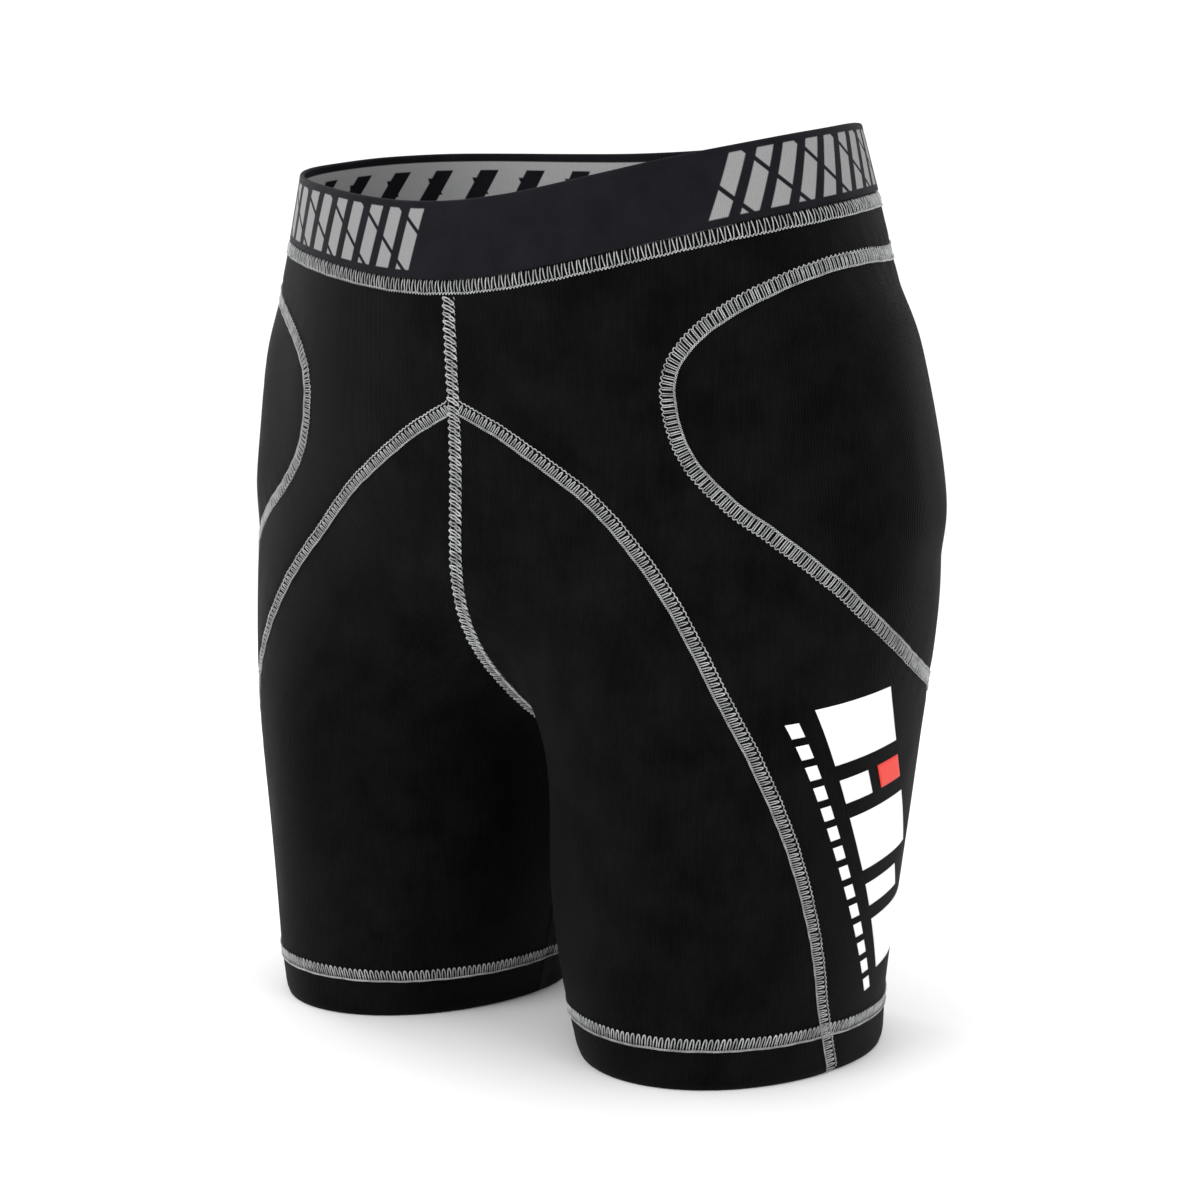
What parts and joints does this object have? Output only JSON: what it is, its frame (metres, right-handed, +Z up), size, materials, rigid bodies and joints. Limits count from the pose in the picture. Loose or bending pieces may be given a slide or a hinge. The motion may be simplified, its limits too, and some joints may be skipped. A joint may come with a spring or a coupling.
{
  "type": "padded impact shorts",
  "caption": "Close-fitting padded impact shorts: elastic waistband, hip and tailbone pads in sewn pockets, contrast flatlock seams and a thigh print, shown as worn.",
  "frame": {"origin": "on the ground plane of the two level hem edges, midway across and midway front to back of the whole garment", "axes": "+Z up along the wearer's body, +X to the wearer's left, the front faces -Y"},
  "size_m": [0.381, 0.2301, 0.4386],
  "materials": {
    "knit": "black nylon and elastane warp knit, matte with a soft sheen",
    "elastic": "blue-black woven elastic with grey woven bars, smooth satin",
    "grey_thread": "light grey polyester flatlock thread",
    "black_thread": "black polyester flatlock thread",
    "mesh_lining": "dark grey open knit mesh",
    "pad_foam": "charcoal closed-cell foam with a fine skin",
    "print_white": "white heat-transfer film, smooth",
    "print_red": "red heat-transfer film, smooth"
  },
  "bodies": {
    "root": {"front_side_panel_left": "knit", "front_side_panel_right": "knit", "front_thigh_panel_left": "knit", "front_thigh_panel_right": "knit", "back_panel_left": "knit", "back_panel_right": "knit", "hip_panel_left": "knit", "hip_panel_right": "knit", "tailbone_panel": "knit", "hem_fold_left": "knit", "hem_fold_right": "knit", "waistband": "elastic", "waistband_join": "elastic", "hip_pad_left": "pad_foam", "hip_pad_right": "pad_foam", "tailbone_pad": "pad_foam", "hip_pad_lining_left": "mesh_lining", "hip_pad_lining_right": "mesh_lining", "tailbone_pad_lining": "mesh_lining", "waist_seam_thread": "grey_thread", "front_centre_seam_thread": "grey_thread", "crotch_seam_thread": "grey_thread", "tailbone_seam_thread": "grey_thread", "hip_seam_thread_left": "grey_thread", "hip_seam_thread_right": "grey_thread", "thigh_seam_thread_left": "grey_thread", "thigh_seam_thread_right": "grey_thread", "side_back_seam_thread_left": "grey_thread", "side_back_seam_thread_right": "grey_thread", "hem_thread_left": "grey_thread", "hem_thread_right": "grey_thread", "inseam_thread_left": "black_thread", "inseam_thread_right": "black_thread", "thigh_print": "print_white", "thigh_print_accent": "print_red"}
  },
  "joints": []
}
